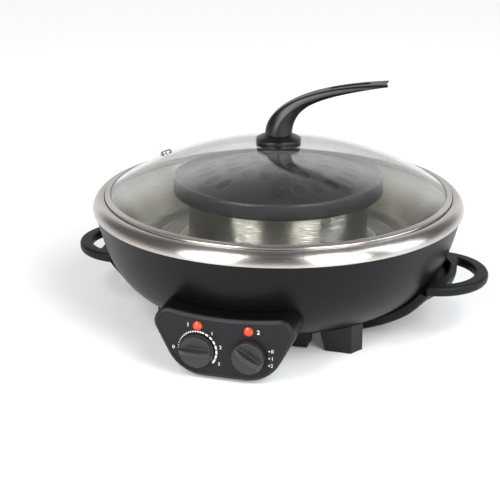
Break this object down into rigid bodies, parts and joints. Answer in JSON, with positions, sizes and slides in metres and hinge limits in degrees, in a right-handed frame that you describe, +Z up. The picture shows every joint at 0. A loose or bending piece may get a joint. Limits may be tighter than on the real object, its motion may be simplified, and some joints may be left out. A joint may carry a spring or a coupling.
{
  "type": "electric hot pot",
  "caption": "Round electric hot pot: ring-shaped steel pot with a central grill plate, domed glass lid with a bent handle, side handles and a front panel with rotary controls.",
  "frame": {"origin": "on the pot's axis, at the height of the table that the feet stand on", "axes": "+Z up along the pot's axis, +X towards the right side handle, -Y towards the front control panel"},
  "size_m": [0.447, 0.4035, 0.2507],
  "materials": {
    "shell_paint": "matte charcoal paint",
    "polished_steel": "polished stainless steel",
    "pot_steel": "brushed stainless steel",
    "black_plastic": "fine grained black plastic",
    "handle_plastic": "satin dark grey plastic",
    "housing_plastic": "semi-gloss black plastic",
    "fascia_plastic": "matt dark grey plastic",
    "knob_plastic": "satin dark grey plastic",
    "lid_handle_plastic": "satin black plastic",
    "light_red": "clear red plastic",
    "lid_glass": "clear toughened glass",
    "grill_coating": "dark grey non-stick coating on cast aluminium",
    "zinc_steel": "zinc-plated steel",
    "element_steel": "heat-darkened steel tube",
    "switch_case": "pale moulded resin",
    "lamp_glass": "small neon lamp",
    "probe_brass": "plain brass",
    "wire_sleeve": "silicone sleeve",
    "rubber": "black rubber"
  },
  "bodies": {
    "base": {"outer_shell": "shell_paint", "steel_rim": "polished_steel", "ring_pot": "pot_steel", "base_pan": "black_plastic", "front_right_foot": "black_plastic", "front_left_foot": "black_plastic", "rear_right_foot": "black_plastic", "rear_left_foot": "black_plastic", "right_handle": "handle_plastic", "left_handle": "handle_plastic", "control_housing": "housing_plastic", "control_fascia": "fascia_plastic", "hotpot_light_lens": "light_red", "grill_light_lens": "light_red", "pan_screws": "zinc_steel", "foot_screws": "zinc_steel", "handle_screws": "zinc_steel", "housing_screws": "zinc_steel", "spindle_nuts": "zinc_steel", "element_clips": "zinc_steel", "element_saddles": "zinc_steel", "grill_reflector": "zinc_steel", "thermal_fuse": "zinc_steel", "pot_element": "element_steel", "grill_element": "element_steel", "hotpot_thermostat": "switch_case", "grill_switch": "switch_case", "terminal_block": "switch_case", "hotpot_lamp": "lamp_glass", "grill_lamp": "lamp_glass", "temperature_probe": "probe_brass", "wires": "wire_sleeve", "cord_gland": "rubber"},
    "lid": {"lid_glass": "lid_glass", "lid_band": "polished_steel", "vent_eyelet": "polished_steel", "handle_foot": "lid_handle_plastic", "lid_handle": "lid_handle_plastic", "handle_washer": "rubber", "handle_screw": "zinc_steel"},
    "grill_plate": {"grill_plate": "grill_coating"},
    "hotpot_knob": {"hotpot_knob": "knob_plastic", "hotpot_spindle": "zinc_steel"},
    "grill_knob": {"grill_knob": "knob_plastic", "grill_spindle": "zinc_steel"}
  },
  "joints": [
    {"name": "lid_lift", "type": "slide", "parent": "base", "child": "lid", "axis": [0, 0, 1], "range_m": [0, 0.15]},
    {"name": "grill_plate_lift", "type": "slide", "parent": "base", "child": "grill_plate", "axis": [0, 0, 1], "range_m": [0, 0.008]},
    {"name": "hotpot_knob_turn", "type": "hinge", "parent": "base", "child": "hotpot_knob", "pos_m": [-0.0256, -0.196, 0.0302], "axis": [0, -1, 0], "range_deg": [-225, 0]},
    {"name": "grill_knob_turn", "type": "hinge", "parent": "base", "child": "grill_knob", "pos_m": [0.0256, -0.196, 0.0302], "axis": [0, -1, 0], "range_deg": [0, 60]}
  ]
}
